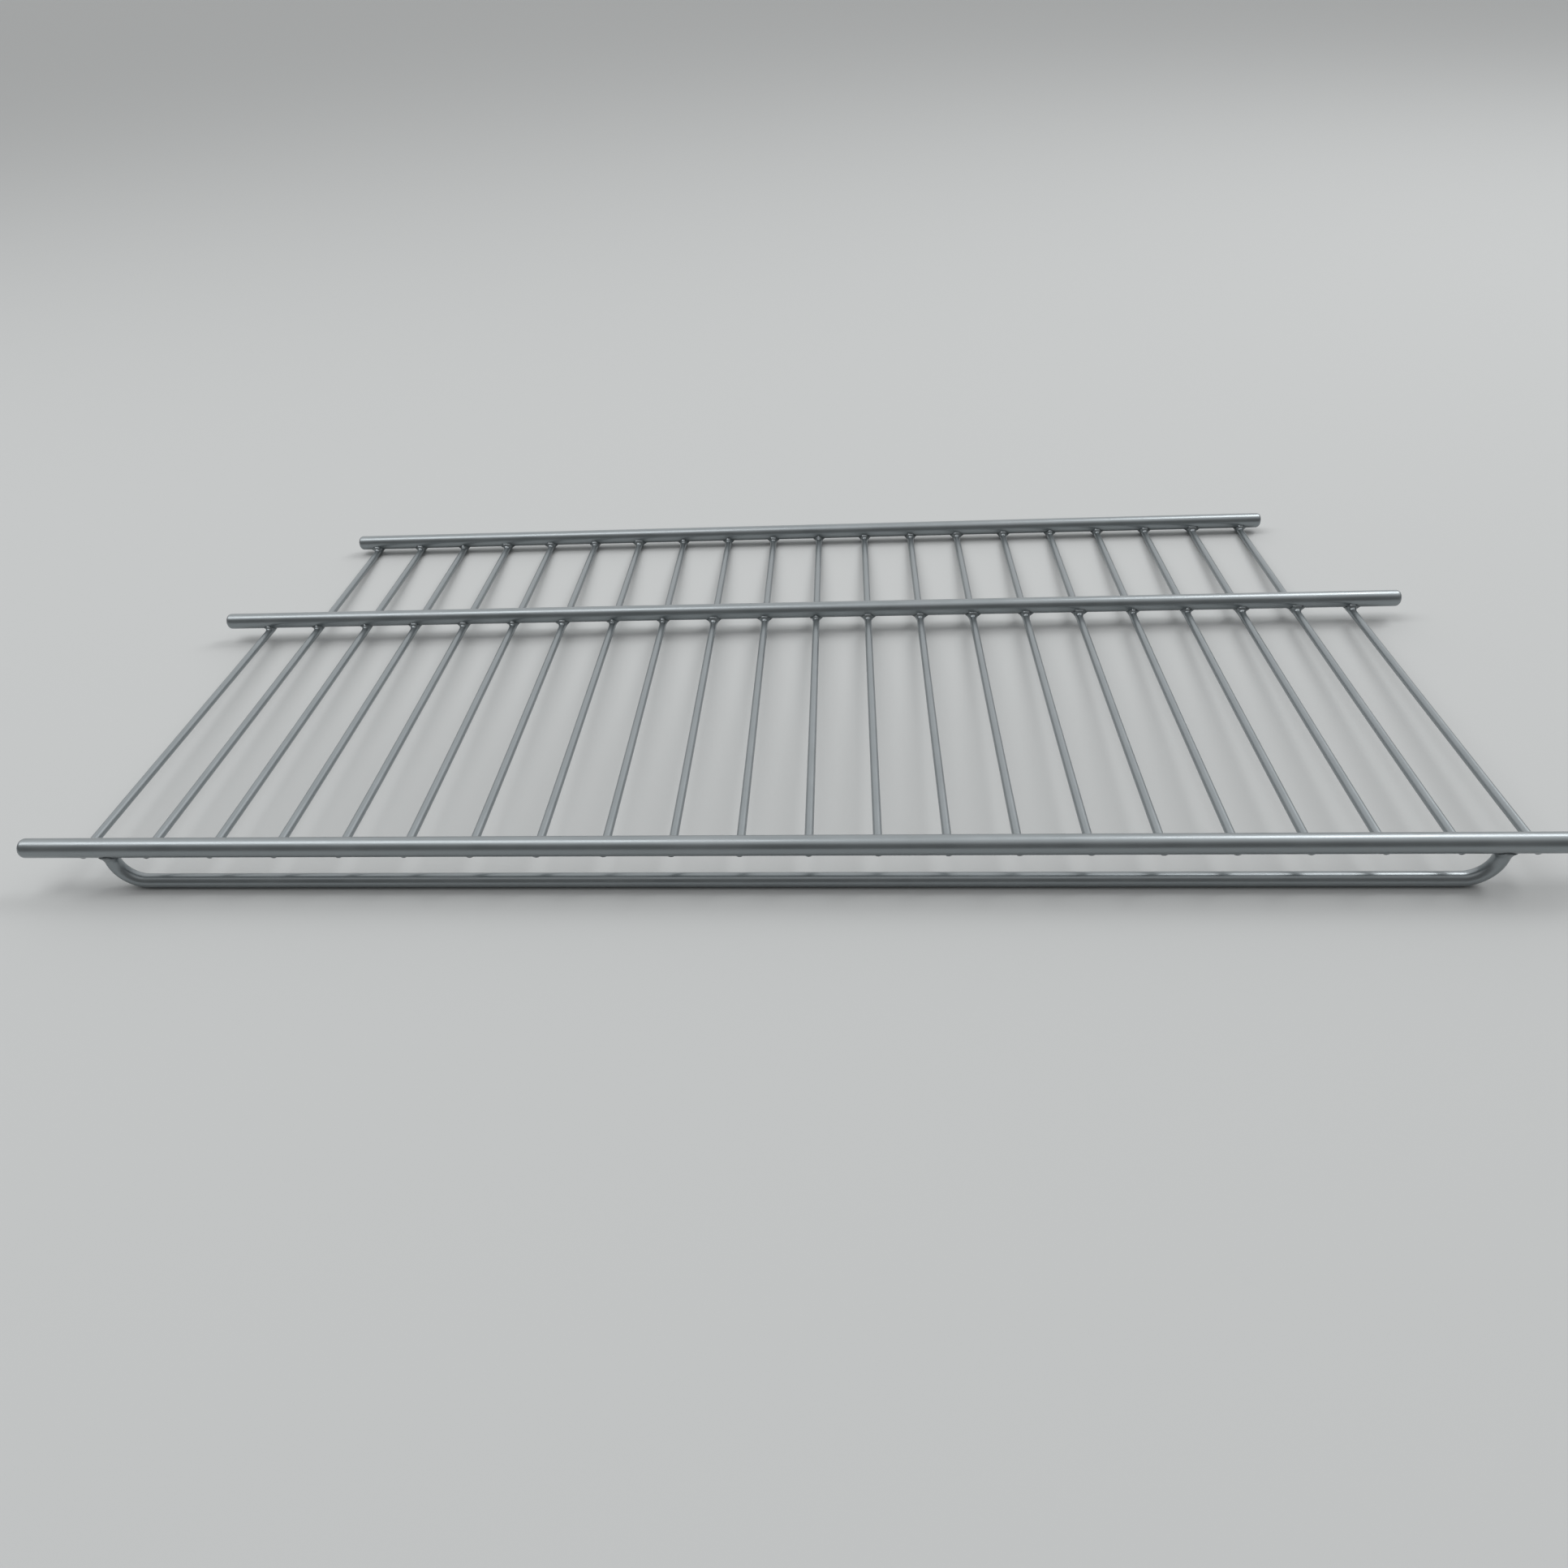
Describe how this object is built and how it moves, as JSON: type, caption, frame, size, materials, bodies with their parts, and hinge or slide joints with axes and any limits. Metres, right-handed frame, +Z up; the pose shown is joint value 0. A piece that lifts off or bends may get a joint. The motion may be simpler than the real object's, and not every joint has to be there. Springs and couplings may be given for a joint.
{
  "type": "refrigerator shelf",
  "caption": "Flat welded wire shelf for a refrigerator: thin parallel wires under thick cross bars, with a bent rail below the front bar.",
  "frame": {"origin": "middle of the shelf's outline in plan, at the height of the lower rail's underside", "axes": "+X along the cross bars, +Y from the front bar with its rail to the back bar, +Z up, out of the side on which the cross bars lie"},
  "size_m": [0.477, 0.2362, 0.019],
  "materials": {
    "bars": "glossy silver-grey coating on steel rod",
    "rail": "glossy silver-grey coating on bent steel rod",
    "wires": "glossy silver-grey coating on steel wire"
  },
  "bodies": {
    "root": {"front_bar": "bars", "middle_bar": "bars", "back_bar": "bars", "front_rail": "rail", "wire_01": "wires", "wire_02": "wires", "wire_03": "wires", "wire_04": "wires", "wire_05": "wires", "wire_06": "wires", "wire_07": "wires", "wire_08": "wires", "wire_09": "wires", "wire_10": "wires", "wire_11": "wires", "wire_12": "wires", "wire_13": "wires", "wire_14": "wires", "wire_15": "wires", "wire_16": "wires", "wire_17": "wires", "wire_18": "wires", "wire_19": "wires", "wire_20": "wires", "wire_21": "wires", "wire_22": "wires"}
  },
  "joints": []
}
